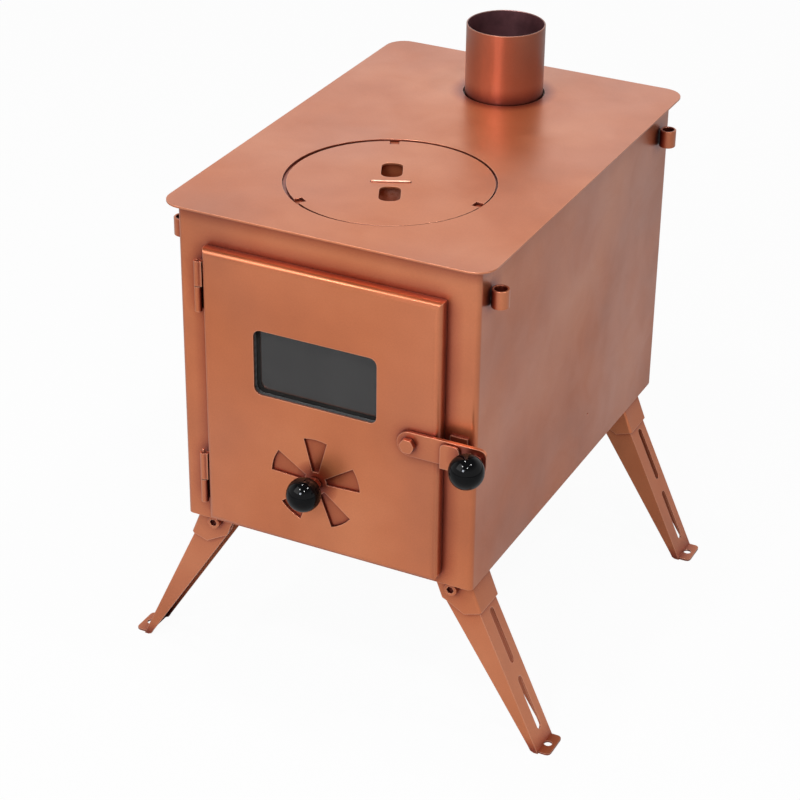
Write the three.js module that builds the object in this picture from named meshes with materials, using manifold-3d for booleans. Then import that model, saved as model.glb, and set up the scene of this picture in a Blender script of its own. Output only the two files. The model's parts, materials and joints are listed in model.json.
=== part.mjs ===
// Tent wood stove: a folded steel firebox on four folding legs, with a round cooking lid, a flue spigot
// and a hinged door with a window, a rotating air vent and a gravity latch.
// Millimetres. +X is right, -Y is the front, +Z is up, z = 0 is the ground under the feet.
import * as THREE from 'three';
import { mergeVertices } from 'three/addons/utils/BufferGeometryUtils.js';
import Module from 'manifold-3d';

const wasm = await Module();
wasm.setup();

// ---------------------------------------------------------------- driving dimensions

const SHEET = 1.5; // thickness of all the folded sheet
const GAP = 0.3; // clearance between pieces that touch
const CHORD_ERROR = 0.12; // furthest a facet lies from the true curve
const PAST = 5; // how far a cutting shape reaches past what it cuts
const DEPTH_OFFSET = 15.75; // puts the origin under the middle of the whole stove, door knob included

const plate = { width: 250, depth: 365, top: 384, corner: 16 };
const body = {
  halfWidth: 115.5, front: -173, back: 178, bottom: 132,
  frontFold: 4, backFold: 8, backReturn: 100, baseUnderside: 141,
  backPanelHalfWidth: 108.6, baseFrontCorner: 3, baseBackCorner: 7,
};
const lid = {
  holeRadius: 75.7, holeY: -75.5, radius: 73.6, x: 1.2, y: -76.5, turn: 24.5,
  notchWidth: 7, notchDepth: 6, seatInner: 64, seatOuter: 84,
};
const fingerHole = { halfWidth: 7.6, near: 8.2, far: 33.2, corner: 6 };
const cup = { radius: 36.5, floor: 364 };
const lifter = { length: 28, thickness: 2, bottom: 367, proud: 1, slack: 0.4, slotCorner: 0.5 };
const flue = { radius: 30, wall: 1.2, y: 118.4, top: 438.5, holeRadius: 31.3, flangeRadius: 40 };
const socket = { radius: 6.25, bore: 4.5, bottom: 349.3, top: 362.9, frontY: -155, backY: 154.5 };
const pilotHole = { radius: 1, y: 34.9, z: 171.7 };

const door = {
  left: -92.4, right: 92.2, bottom: 137.4, top: 355.5, front: -183, back: -173.3,
  bend: 5.4, cornerCut: 6, topCorner: 0.6,
};
const opening = { halfWidth: 76, bottom: 158, top: 338, corner: 5 };
const glass = {
  left: -51.1, right: 44.9, bottom: 253.2, top: 303.6, corner: 5.5,
  cover: 7, thickness: 4, gasket: 3.6, retainerRim: 13, studInset: 3, studLift: 2, studTail: 1,
  paneCorner: 2, trimCorner: 3,
};
const rope = { radius: 3.6, inset: 5.4, corner: 9, behindEdge: 0.5 };
const vent = {
  x: -2.8, z: 193.2, inner: 9, outer: 35.2, slotAngle: 30, count: 5, discRadius: 38,
  discThickness: 1.2, discSlotAngle: 31, knobY: -200.6, outerNut: 4.6, outerNutTurn: 12, stemTail: 7,
};
const latch = {
  pivotX: 71.5, z: 246.6, halfHeight: 9.4, right: 129.3, corner: 5, thickness: 3,
  knobX: 121.8, knobY: -201.5, headHeight: 4, shankLength: 6.5, nutTurn: -17,
};
const keeper = {
  left: 95.8, right: 110.1, ledge: 237, top: 254.5, front: -188.6, corner: 3.5, lowCorner: 0.5,
  wallLeft: 96.8,
};
const ball = { radius: 12.5, flat: 11.5, boreDepth: 12, studGap: 1 };
const hinge = {
  x: -96.6, y: -179, radius: 2.75, bore: 1.5, pin: 1.2, pinTip: 0.72, pinTaper: 0.5,
  webHalf: 0.8, leafFront: -1.5, leafBack: 4,
};
const upperHinge = { bottom: 305.7, split: 325.3, top: 344.7, pinProud: 1 };
const lowerHinge = { bottom: 150.3, split: 169.3, top: 191.2, pinProud: 3 };

const legPivot = { x: 97, z: 125, frontY: -148.05, backY: 142.45 };
const leg = {
  width: 27.1, webAngle: 24.75, webDistance: 11.2, innerAngle: 32.7, innerDistance: 12.9,
  slotWidth: 6, slotMiddle: 2, slots: [[28.5, 74.5], [86, 130.5]],
  heel: { height: 4, length: 4.2, middleX: 1.6, middleZ: 1.2 },
};
const foot = {
  inner: 163.5, outer: 175.5, halfWidth: 12.2, corner: 3.5, innerCorner: 0.2, holeX: 169.3, holeRadius: 3.1,
};
const bracket = {
  width: 30.7, topOuter: 9.3, topInner: -18.9, outerToe: [22.2, -16.8],
  underside: [[-8.4, -11.7], [-4.6, -13.4], [9, -21]],
};
const legBolt = { headRadius: 5, headHeight: 5, chamfer: 0.5, socket: 5, socketDepth: 3, tail: 5.5 };

const m6 = { shank: 2.9, clear: 3.2, across: 10, nut: 4.8, thinNut: 3.2 };
const m3 = { shank: 1.5, clear: 1.8, across: 5.5, nut: 2.4 };

const grate = {
  halfWidth: 94, front: -140, back: 160, top: 156, sheet: 2, slots: 9, slot: 9, pitch: 18, slotMargin: 18,
};
const baffle = { front: 22, z: 328, lip: 12, frontCorner: 0.5, backCorner: 7 };

// ---------------------------------------------------------------- materials

const paint = new THREE.MeshStandardMaterial({ color: '#b4623f', metalness: 0.6, roughness: 0.4 });
const darkSteel = new THREE.MeshStandardMaterial({ color: '#4a4643', metalness: 0.8, roughness: 0.6 });
const zinc = new THREE.MeshStandardMaterial({ color: '#a9a7a2', metalness: 0.9, roughness: 0.35 });
const phenolic = new THREE.MeshStandardMaterial({ color: '#0b0b0c', metalness: 0, roughness: 0.08 });
const ceramicGlass = new THREE.MeshStandardMaterial({ color: '#2f2d2c', metalness: 0, roughness: 0.05 });
const fibre = new THREE.MeshStandardMaterial({ color: '#1c1b1a', metalness: 0, roughness: 0.95 });

// ---------------------------------------------------------------- solids

const radians = THREE.MathUtils.degToRad;

// A closed BufferGeometry as a solid that can be cut and joined.
function solid(geometry) {
  const bare = geometry.index ? geometry.toNonIndexed() : geometry.clone();
  for (const name of Object.keys(bare.attributes)) if (name !== 'position') bare.deleteAttribute(name);
  const merged = mergeVertices(bare, 1e-4);
  return new wasm.Manifold(new wasm.Mesh({
    numProp: 3,
    vertProperties: new Float32Array(merged.attributes.position.array),
    triVerts: new Uint32Array(merged.index.array),
  }));
}

// A cut solid as flat-shaded geometry.
function geometryOf(made) {
  const mesh = made.getMesh();
  const geometry = new THREE.BufferGeometry();
  geometry.setAttribute('position', new THREE.BufferAttribute(new Float32Array(mesh.vertProperties), 3));
  geometry.setIndex(new THREE.BufferAttribute(new Uint32Array(mesh.triVerts), 1));
  const flat = geometry.toNonIndexed();
  flat.computeVertexNormals();
  return flat;
}

function cut(from, ...tools) {
  return geometryOf(tools.reduce((made, tool) => made.subtract(solid(tool)), solid(from)));
}

function join(...pieces) {
  return geometryOf(pieces.map(solid).reduce((made, piece) => made.add(piece)));
}

function box(x0, x1, y0, y1, z0, z1) {
  return new THREE.BoxGeometry(x1 - x0, y1 - y0, z1 - z0)
    .translate((x0 + x1) / 2, (y0 + y1) / 2, (z0 + z1) / 2);
}

// A shape drawn in X and Y, from z0 up to z1.
function upright(shape, z0, z1) {
  return new THREE.ExtrudeGeometry(shape, { depth: z1 - z0, bevelEnabled: false }).translate(0, 0, z0);
}

// A shape drawn in X and Z, as seen from the front, from y0 back to y1.
function frontal(shape, y0, y1) {
  return new THREE.ExtrudeGeometry(shape, { depth: y1 - y0, bevelEnabled: false })
    .rotateX(Math.PI / 2)
    .translate(0, y1, 0);
}

// Facets that keep an arc of this radius and angle within the chord error.
function facets(radius, angle = Math.PI * 2) {
  return Math.ceil(Math.abs(angle) / (2 * Math.acos(1 - CHORD_ERROR / radius)));
}

// The [x, y] points of an arc, both ends included.
function arc(x, y, radius, start, end) {
  const count = facets(radius, end - start);
  return Array.from({ length: count + 1 }, (_, i) => {
    const angle = start + (end - start) * i / count;
    return [x + radius * Math.cos(angle), y + radius * Math.sin(angle)];
  });
}

// An outline through [x, y] points.
function outlineOf(points) {
  return new THREE.Shape(points.map(([x, y]) => new THREE.Vector2(x, y)));
}

// A rectangle with its own radius at each corner: bottom left, bottom right, top right, top left.
function rounded(x0, x1, y0, y1, ...radii) {
  const [bl, br = bl, tr = br, tl = tr] = radii;
  const quarter = Math.PI / 2;
  return outlineOf([
    ...arc(x1 - br, y0 + br, br, -quarter, 0),
    ...arc(x1 - tr, y1 - tr, tr, 0, quarter),
    ...arc(x0 + tl, y1 - tl, tl, quarter, 2 * quarter),
    ...arc(x0 + bl, y0 + bl, bl, 2 * quarter, 3 * quarter),
  ]);
}

function disc(x, y, radius) {
  return outlineOf(arc(x, y, radius, 0, Math.PI * 2).slice(1));
}

function withHoles(shape, ...holes) {
  shape.holes.push(...holes);
  return shape;
}

// A hexagon with the given distance across its flats and a corner at the given angle.
function hexagon(x, y, across, turn = 0) {
  const corner = across / 2 / Math.cos(Math.PI / 6);
  return outlineOf(Array.from({ length: 6 }, (_, i) => {
    const angle = radians(turn + 60 * i);
    return [x + corner * Math.cos(angle), y + corner * Math.sin(angle)];
  }));
}

// A profile of [radius, y] points turned about a front-to-back axis.
function turnedAlongY(points) {
  const widest = Math.max(...points.map(([radius]) => radius));
  return new THREE.LatheGeometry(points.map(([r, y]) => new THREE.Vector2(r, y)), facets(widest));
}

// A profile of [radius, height] points turned about the vertical axis.
function turned(points) {
  return turnedAlongY(points).rotateX(Math.PI / 2);
}

// A cylinder along Y, centred on the origin, for drilling.
function drill(radius, length) {
  return new THREE.CylinderGeometry(radius, radius, length, facets(radius));
}

// ---------------------------------------------------------------- scene graph

const root = new THREE.Group();
const stove = new THREE.Group();
stove.position.y = DEPTH_OFFSET;
root.add(stove);

function place(name, geometry, material, parent = stove, x = 0, y = 0, z = 0) {
  const mesh = new THREE.Mesh(geometry, material);
  mesh.name = name;
  mesh.position.set(x, y, z);
  parent.add(mesh);
  return mesh;
}

// ---------------------------------------------------------------- firebox

const plateUnderside = plate.top - SHEET;
const bodyTop = plateUnderside - GAP;
const innerHalfWidth = body.halfWidth - SHEET;

function bodyOutline(inset) {
  return rounded(
    -body.halfWidth + inset, body.halfWidth - inset, body.front + inset, body.back - inset,
    body.frontFold - inset, body.frontFold - inset, body.backFold - inset, body.backFold - inset,
  );
}

function makeBody() {
  const wrap = upright(withHoles(bodyOutline(0), bodyOutline(SHEET)), body.bottom, bodyTop);
  const doorway = frontal(
    rounded(-opening.halfWidth, opening.halfWidth, opening.bottom, opening.top, opening.corner),
    body.front - PAST, body.front + PAST,
  );
  const backway = box(
    -body.backReturn, body.backReturn, body.back - PAST, body.back + PAST, 0, plate.top,
  );
  const pilot = drill(pilotHole.radius, 2 * PAST)
    .rotateZ(Math.PI / 2)
    .translate(body.halfWidth, pilotHole.y, pilotHole.z);
  place('body_shell', cut(wrap, doorway, backway, pilot), paint);

  const panelBack = body.back - SHEET - GAP;
  const panelX = body.backPanelHalfWidth;
  place('back_panel', box(-panelX, panelX, panelBack - SHEET, panelBack, body.bottom, bodyTop), paint);

  const floor = rounded(
    -innerHalfWidth + GAP, innerHalfWidth - GAP,
    body.front + SHEET + GAP, panelBack - SHEET - GAP,
    body.baseFrontCorner, body.baseFrontCorner, body.baseBackCorner, body.baseBackCorner,
  );
  place('base_plate', upright(floor, body.baseUnderside, body.baseUnderside + SHEET), darkSteel);
}

function makeTop() {
  const outline = rounded(
    -plate.width / 2, plate.width / 2, -plate.depth / 2, plate.depth / 2, plate.corner,
  );
  withHoles(outline, disc(0, lid.holeY, lid.holeRadius), disc(0, flue.y, flue.holeRadius));
  place('top_plate', upright(outline, plateUnderside, plate.top), paint);

  const spigot = [
    [flue.radius - flue.wall, bodyTop - SHEET],
    [flue.flangeRadius, bodyTop - SHEET],
    [flue.flangeRadius, bodyTop],
    [flue.radius, bodyTop],
    [flue.radius, flue.top],
    [flue.radius - flue.wall, flue.top],
    [flue.radius - flue.wall, bodyTop - SHEET],
  ];
  place('flue_spigot', turned(spigot), paint, stove, 0, flue.y, 0);

  const seat = withHoles(disc(0, 0, lid.seatOuter), disc(0, 0, lid.seatInner));
  place('lid_seat_ring', upright(seat, bodyTop - SHEET, bodyTop), paint, stove, 0, lid.holeY, 0);
}

function makeSockets() {
  const wall = [
    [socket.bore, 0], [socket.radius, 0], [socket.radius, socket.top - socket.bottom],
    [socket.bore, socket.top - socket.bottom], [socket.bore, 0],
  ];
  const sideX = body.halfWidth + GAP + socket.radius;
  for (const [side, x] of [['left', -sideX], ['right', sideX]]) {
    for (const [end, y] of [['front', socket.frontY], ['rear', socket.backY]]) {
      place(`socket_${end}_${side}`, turned(wall), paint, stove, x, y, socket.bottom);
    }
  }
}

// ---------------------------------------------------------------- cooking lid

// A disc with three notches in its rim, one of them at the back.
function lidOutline() {
  const third = Math.PI * 2 / 3;
  const half = Math.asin(lid.notchWidth / 2 / lid.radius);
  const inward = lid.radius * Math.cos(half) - lid.notchDepth;
  const across = lid.notchWidth / 2;
  return outlineOf([0, 1, 2].flatMap((i) => {
    const middle = Math.PI / 2 + i * third;
    const corner = (side) => [
      inward * Math.cos(middle) - side * across * Math.sin(middle),
      inward * Math.sin(middle) + side * across * Math.cos(middle),
    ];
    return [corner(-1), corner(1), ...arc(0, 0, lid.radius, middle + half, middle + third - half)];
  }));
}

function makeLid() {
  const group = new THREE.Group();
  group.position.set(lid.x, lid.y, 0);
  group.rotation.z = radians(lid.turn);
  stove.add(group);

  const { halfWidth, near, far, corner } = fingerHole;
  const slotX = lifter.length / 2 + lifter.slack;
  const slotY = lifter.thickness / 2 + lifter.slack;
  const outline = withHoles(
    lidOutline(),
    rounded(-halfWidth, halfWidth, near, far, corner),
    rounded(-halfWidth, halfWidth, -far, -near, corner),
    rounded(-slotX, slotX, -slotY, slotY, lifter.slotCorner),
  );
  place('cooking_lid', upright(outline, plateUnderside, plate.top), paint, group);

  const wall = [
    [0, cup.floor], [cup.radius, cup.floor], [cup.radius, bodyTop],
    [cup.radius - SHEET, bodyTop], [cup.radius - SHEET, cup.floor + SHEET], [0, cup.floor + SHEET],
  ];
  place('lid_cup', turned(wall), paint, group);

  const x = lifter.length / 2;
  const y = lifter.thickness / 2;
  place('lid_lifting_bar', box(-x, x, -y, y, lifter.bottom, plate.top + lifter.proud), paint, group);
}

// ---------------------------------------------------------------- legs

// Everything here is drawn about the pivot, for the right-hand side.
const webDown = new THREE.Vector2(Math.sin(radians(leg.webAngle)), -Math.cos(radians(leg.webAngle)));
const webOut = new THREE.Vector2(Math.cos(radians(leg.webAngle)), Math.sin(radians(leg.webAngle)));
const innerDown = new THREE.Vector2(Math.sin(radians(leg.innerAngle)), -Math.cos(radians(leg.innerAngle)));
const innerOut = new THREE.Vector2(-Math.cos(radians(leg.innerAngle)), -Math.sin(radians(leg.innerAngle)));

function onWeb(along, inset = 0) {
  return webOut.clone().multiplyScalar(leg.webDistance - inset).addScaledVector(webDown, along);
}

function onWebAtHeight(z, inset = 0) {
  const start = onWeb(0, inset);
  return onWeb((z - start.y) / webDown.y, inset);
}

function onInnerEdge(z) {
  const start = innerOut.clone().multiplyScalar(leg.innerDistance);
  return start.addScaledVector(innerDown, (z - start.y) / innerDown.y);
}

// The flange: round about the pivot at the top, tapering to the foot.
function flangeOutline() {
  const ground = -legPivot.z;
  const toe = onWebAtHeight(ground);
  const heel = onInnerEdge(ground + leg.heel.height);
  const turn = radians(180 + leg.innerAngle - leg.webAngle);
  const steps = facets(leg.innerDistance, turn);
  const crown = Array.from({ length: steps + 1 }, (_, i) => {
    const angle = radians(leg.webAngle) + turn * i / steps;
    const radius = leg.webDistance + (leg.innerDistance - leg.webDistance) * i / steps;
    return [radius * Math.cos(angle), radius * Math.sin(angle)];
  });
  const { length, middleX, middleZ } = leg.heel;
  const sole = [[heel.x, heel.y], [heel.x + middleX, ground + middleZ], [heel.x + length, ground]];
  return outlineOf([[toe.x, toe.y], ...crown, ...sole]);
}

function makeLegGeometry() {
  const half = leg.width / 2;
  const channel = frontal(flangeOutline(), -half, half);
  const [top, low] = [onWeb(-legPivot.z, SHEET), onWeb(2 * legPivot.z, SHEET)];
  const inward = leg.width * 3;
  const pocket = frontal(
    outlineOf([[low.x, low.y], [low.x - inward, low.y], [top.x - inward, top.y], [top.x, top.y]]),
    -half + SHEET, half - SHEET,
  );
  const slots = leg.slots.map(([from, to]) => {
    const r = leg.slotWidth / 2;
    const shape = rounded(from, to, leg.slotMiddle - r, leg.slotMiddle + r, r);
    const basis = new THREE.Matrix4().makeBasis(
      new THREE.Vector3(webDown.x, 0, webDown.y),
      new THREE.Vector3(0, 1, 0),
      new THREE.Vector3(webOut.x, 0, webOut.y),
    );
    return upright(shape, leg.webDistance - PAST, leg.webDistance + PAST).applyMatrix4(basis);
  });
  const pivotHole = drill(m6.clear, leg.width + PAST);
  const tab = upright(
    rounded(
      foot.inner - legPivot.x, foot.outer - legPivot.x, -foot.halfWidth, foot.halfWidth,
      foot.innerCorner, foot.corner, foot.corner, foot.innerCorner,
    ),
    -legPivot.z, -legPivot.z + SHEET,
  );
  const pegHole = drill(foot.holeRadius, 2 * PAST)
    .rotateX(Math.PI / 2)
    .translate(foot.holeX - legPivot.x, 0, -legPivot.z);
  const folded = solid(cut(channel, pocket, ...slots, pivotHole));
  return geometryOf(folded.add(solid(tab)).subtract(solid(pegHole)));
}

function makeBracketGeometry() {
  const half = bracket.width / 2;
  const roof = body.baseUnderside - GAP - legPivot.z;
  const [toeX, toeZ] = bracket.outerToe;
  const outline = [...bracket.underside, [toeX, toeZ], [bracket.topOuter, roof], [bracket.topInner, roof]];
  const shoe = frontal(outlineOf(outline), -half, half);
  const slope = (bracket.topOuter - toeX) / (roof - toeZ);
  const inside = (z) => toeX - SHEET * Math.hypot(1, slope) + slope * (z - toeZ);
  const [high, low] = [roof + 2 * bracket.width, toeZ - 2 * bracket.width];
  const inward = -2 * bracket.width;
  const pocket = frontal(
    outlineOf([[inside(high), high], [inward, high], [inward, low], [inside(low), low]]),
    -half + SHEET, half - SHEET,
  );
  return cut(shoe, pocket, drill(m6.clear, bracket.width + PAST));
}

// Socket-head screw with its head at -Y, through the bracket and the leg.
function makeLegBoltGeometry() {
  const seat = -bracket.width / 2 - GAP;
  const end = bracket.width / 2 + legBolt.tail;
  const head = seat - legBolt.headHeight;
  const { headRadius, chamfer, socket: across, socketDepth } = legBolt;
  const screw = turnedAlongY([
    [0, head], [headRadius - chamfer, head], [headRadius, head + chamfer], [headRadius, seat],
    [m6.shank, seat], [m6.shank, end], [0, end],
  ]);
  return cut(screw, frontal(hexagon(0, 0, across), head - PAST, head + socketDepth));
}

function nutGeometry(thread, across, thickness, turn = 0) {
  return frontal(withHoles(hexagon(0, 0, across, turn), disc(0, 0, thread)), 0, thickness);
}

function makeLegs() {
  const legGeometry = makeLegGeometry();
  const bracketGeometry = makeBracketGeometry();
  const boltGeometry = makeLegBoltGeometry();
  const nut = nutGeometry(m6.clear, m6.across, m6.nut);
  for (const [side, mirror] of [['left', -1], ['right', 1]]) {
    for (const [end, y] of [['front', legPivot.frontY], ['rear', legPivot.backY]]) {
      const corner = new THREE.Group();
      corner.position.set(mirror * legPivot.x, y, legPivot.z);
      corner.scale.x = mirror;
      stove.add(corner);
      place(`leg_bracket_${end}_${side}`, bracketGeometry, paint, corner);
      place(`leg_${end}_${side}`, legGeometry, paint, corner);
      const fixing = new THREE.Group();
      fixing.rotation.z = end === 'rear' ? Math.PI : 0;
      corner.add(fixing);
      place(`leg_bolt_${end}_${side}`, boltGeometry, paint, fixing);
      place(`leg_nut_${end}_${side}`, nut, zinc, fixing, 0, bracket.width / 2 + GAP, 0);
    }
  }
}

// ---------------------------------------------------------------- door

// A box open at the back, whose front edges are rounded with the given radius, as a stack of rectangles.
function pressedBox(inset, bend, front, back) {
  const x0 = door.left + inset;
  const x1 = door.right - inset;
  const z0 = door.bottom + inset;
  const z1 = door.top - inset;
  const steps = facets(bend, Math.PI / 2);
  const layers = [[back, 0]];
  for (let i = 0; i <= steps; i++) {
    const angle = (i / steps) * Math.PI / 2;
    layers.push([front + bend - bend * Math.sin(angle), bend - bend * Math.cos(angle)]);
  }
  const positions = [];
  for (const [y, d] of layers) {
    positions.push(x0 + d, y, z0 + d, x1 - d, y, z0 + d, x1 - d, y, z1 - d, x0 + d, y, z1 - d);
  }
  const index = [0, 2, 1, 0, 3, 2];
  for (let i = 0; i + 1 < layers.length; i++) {
    for (let k = 0; k < 4; k++) {
      const [a, b] = [4 * i + k, 4 * i + (k + 1) % 4];
      index.push(a, b, b + 4, a, b + 4, a + 4);
    }
  }
  const last = 4 * (layers.length - 1);
  index.push(last, last + 1, last + 2, last, last + 2, last + 3);
  const geometry = new THREE.BufferGeometry();
  geometry.setAttribute('position', new THREE.Float32BufferAttribute(positions, 3));
  geometry.setIndex(index);
  return geometry;
}

function windowOutline(grow, corner = glass.corner) {
  return rounded(glass.left - grow, glass.right + grow, glass.bottom - grow, glass.top + grow, corner);
}

// One slot of the vent, pointing up, as an annular sector about the vent's centre.
function ventSector(angle, inner, outer, turn) {
  const start = radians(90 + turn - angle / 2);
  const end = radians(90 + turn + angle / 2);
  return outlineOf([...arc(0, 0, outer, start, end), ...arc(0, 0, inner, end, start)]);
}

function glassStudPlaces() {
  const x0 = glass.left - glass.cover - glass.studInset;
  const x1 = glass.right + glass.cover + glass.studInset;
  const z0 = glass.bottom + glass.studLift;
  const z1 = glass.top - glass.studLift;
  return [[x0, z0], [x1, z0], [x1, z1], [x0, z1]];
}

const panInside = door.front + SHEET;
const gasketFront = panInside + GAP;
const glassFront = gasketFront + glass.gasket + GAP;
const retainerFront = glassFront + glass.thickness + GAP;
const nutFront = retainerFront + SHEET + GAP;

function makeDoorPan() {
  const shell = solid(pressedBox(0, door.bend, door.front, door.back))
    .subtract(solid(pressedBox(SHEET, door.bend - SHEET, panInside, door.back + PAST)));
  const trim = frontal(
    rounded(
      door.left, door.right, door.bottom, door.top,
      door.cornerCut, door.cornerCut, door.topCorner, door.topCorner,
    ),
    door.front - PAST, door.back + PAST,
  );
  const through = (shape) => solid(frontal(shape, door.front - PAST, panInside + PAST));
  let pan = shell.intersect(solid(trim)).subtract(through(windowOutline(0)));
  for (let i = 0; i < vent.count; i++) {
    const sector = ventSector(vent.slotAngle, vent.inner, vent.outer, i * 360 / vent.count);
    const slot = frontal(sector, door.front - PAST, panInside + PAST).translate(vent.x, 0, vent.z);
    pan = pan.subtract(solid(slot));
  }
  pan = pan.subtract(through(disc(vent.x, vent.z, m6.clear)));
  pan = pan.subtract(through(disc(latch.pivotX, latch.z, m6.clear)));
  for (const [x, z] of glassStudPlaces()) {
    const stud = frontal(disc(x, z, m3.shank), door.front + SHEET / 2, nutFront + m3.nut + glass.studTail);
    pan = pan.add(solid(stud));
  }
  place('door_pan', geometryOf(pan), paint);
}

function makeWindow() {
  const gasket = withHoles(windowOutline(glass.cover, glass.trimCorner), windowOutline(GAP));
  place('glass_gasket', frontal(gasket, gasketFront, gasketFront + glass.gasket), fibre);
  const pane = windowOutline(glass.cover, glass.paneCorner);
  place('window_glass', frontal(pane, glassFront, glassFront + glass.thickness), ceramicGlass);
  const retainer = withHoles(
    windowOutline(glass.retainerRim, glass.trimCorner),
    windowOutline(0, glass.trimCorner),
    ...glassStudPlaces().map(([x, z]) => disc(x, z, m3.clear)),
  );
  place('glass_retainer', frontal(retainer, retainerFront, retainerFront + SHEET), darkSteel);
  const nut = nutGeometry(m3.clear, m3.across, m3.nut);
  glassStudPlaces().forEach(([x, z], i) => place(`glass_nut_${i + 1}`, nut, zinc, stove, x, nutFront, z));
}

// A ring of rope with a round section, laid inside the turned edge of the pan.
function makeSeal() {
  const sides = 8;
  const perCorner = 4;
  const y = door.back - rope.behindEdge - rope.radius;
  const margin = rope.inset + rope.corner;
  const [x0, x1] = [door.left + margin, door.right - margin];
  const [z0, z1] = [door.bottom + margin, door.top - margin];
  const centres = [[x1, z0], [x1, z1], [x0, z1], [x0, z0]];
  const stations = centres.flatMap(([x, z], i) => Array.from({ length: perCorner + 1 }, (_, k) => {
    return { x, z, angle: (i - 1 + k / perCorner) * Math.PI / 2 };
  }));
  const positions = stations.flatMap((at) => Array.from({ length: sides }, (_, i) => {
    const around = (i + 0.5) * Math.PI * 2 / sides;
    const radius = rope.corner + rope.radius * Math.cos(around);
    const forward = rope.radius * Math.sin(around);
    return [at.x + radius * Math.cos(at.angle), y + forward, at.z + radius * Math.sin(at.angle)];
  })).flat();
  const index = stations.flatMap((_, s) => Array.from({ length: sides }, (__, i) => {
    const [here, next] = [s * sides, ((s + 1) % stations.length) * sides];
    const [a, b] = [i, (i + 1) % sides];
    return [here + a, next + b, next + a, here + a, here + b, next + b];
  })).flat();
  const geometry = new THREE.BufferGeometry();
  geometry.setAttribute('position', new THREE.Float32BufferAttribute(positions, 3));
  geometry.setIndex(index);
  place('door_seal', geometryOf(solid(geometry)), fibre);
}

// ---------------------------------------------------------------- knobs, vent and latch

// A ball with a flat and a bore at its back, towards +Y; its centre is the origin.
function makeKnobGeometry() {
  const flatAngle = Math.asin(ball.flat / ball.radius);
  const surface = arc(0, 0, ball.radius, -Math.PI / 2, flatAngle);
  surface[0][0] = 0;
  const floor = ball.flat - ball.boreDepth;
  return turnedAlongY([...surface, [m6.clear, ball.flat], [m6.clear, floor], [0, floor]]);
}

function rod(radius, y0, y1) {
  return turnedAlongY([[0, y0], [radius, y0], [radius, y1], [0, y1]]);
}

function makeVent() {
  const discFront = panInside + GAP;
  const discBack = discFront + vent.discThickness;
  const gate = withHoles(disc(0, 0, vent.discRadius), disc(0, 0, m6.clear));
  for (let i = 0; i < vent.count; i++) {
    gate.holes.push(ventSector(vent.discSlotAngle, vent.inner, vent.outer, (i + 0.5) * 360 / vent.count));
  }
  place('vent_disc', frontal(gate, discFront, discBack), paint, stove, vent.x, 0, vent.z);
  const knobBack = vent.knobY + ball.flat;
  const stemFront = knobBack - ball.boreDepth + ball.studGap;
  place('vent_stem', rod(m6.shank, stemFront, discBack + vent.stemTail), zinc, stove, vent.x, 0, vent.z);
  place('vent_knob', makeKnobGeometry(), phenolic, stove, vent.x, vent.knobY, vent.z);
  const outer = nutGeometry(m6.clear, m6.across, vent.outerNut, vent.outerNutTurn);
  place('vent_outer_nut', outer, paint, stove, vent.x, knobBack + GAP, vent.z);
  const inner = nutGeometry(m6.clear, m6.across, m6.thinNut);
  place('vent_inner_nut', inner, zinc, stove, vent.x, discBack + GAP, vent.z);
}

function makeLatch() {
  const armBack = door.front - GAP;
  const armFront = armBack - latch.thickness;
  const { pivotX, z, halfHeight, right, corner, knobX } = latch;
  const outline = rounded(
    pivotX - halfHeight, right, z - halfHeight, z + halfHeight,
    halfHeight, corner, corner, halfHeight,
  );
  withHoles(outline, disc(pivotX, z, m6.clear), disc(knobX, z, m6.clear));
  place('latch_arm', frontal(outline, armFront, armBack), paint);

  const headBack = armFront - GAP;
  const shankEnd = panInside + latch.shankLength;
  const head = frontal(hexagon(0, 0, m6.across), headBack - latch.headHeight, headBack);
  const bolt = join(head, rod(m6.shank, headBack - latch.headHeight / 2, shankEnd));
  place('latch_pivot_bolt', bolt, paint, stove, pivotX, 0, z);
  const inner = nutGeometry(m6.clear, m6.across, m6.nut);
  place('latch_pivot_nut', inner, zinc, stove, pivotX, panInside + GAP, z);

  const knobBack = latch.knobY + ball.flat;
  const stud = rod(m6.shank, knobBack - ball.boreDepth + ball.studGap, armBack - GAP);
  place('latch_stud', stud, zinc, stove, knobX, 0, z);
  place('latch_knob', makeKnobGeometry(), phenolic, stove, knobX, latch.knobY, z);
  const nutBack = armFront - GAP;
  const nut = nutGeometry(m6.clear, m6.across, nutBack - GAP - knobBack, latch.nutTurn);
  place('latch_nut', nut, paint, stove, knobX, knobBack + GAP, z);
}

// A U of sheet on the front wall: a ledge under the arm and a lip in front of it.
function makeKeeper() {
  const { left, right, ledge, top, front, corner, lowCorner, wallLeft } = keeper;
  const bottom = ledge - SHEET;
  const wall = body.front - GAP;
  const lip = rounded(left, right, bottom, top, lowCorner, lowCorner, corner, corner);
  const back = rounded(wallLeft, right, bottom, top, lowCorner);
  place('latch_keeper', join(
    frontal(lip, front, front + SHEET),
    box(left, right, front + SHEET / 2, wall - SHEET / 2, bottom, ledge),
    frontal(back, wall - SHEET, wall),
  ), paint);
}

// ---------------------------------------------------------------- hinges

function knuckle(z0, z1, fixing) {
  const barrel = turned([
    [hinge.bore, z0], [hinge.radius, z0], [hinge.radius, z1], [hinge.bore, z1], [hinge.bore, z0],
  ]);
  const bore = drill(hinge.bore, z1 - z0 + PAST)
    .rotateX(Math.PI / 2)
    .translate(0, 0, (z0 + z1) / 2);
  return geometryOf(solid(barrel).add(solid(fixing)).subtract(solid(bore)));
}

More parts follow.
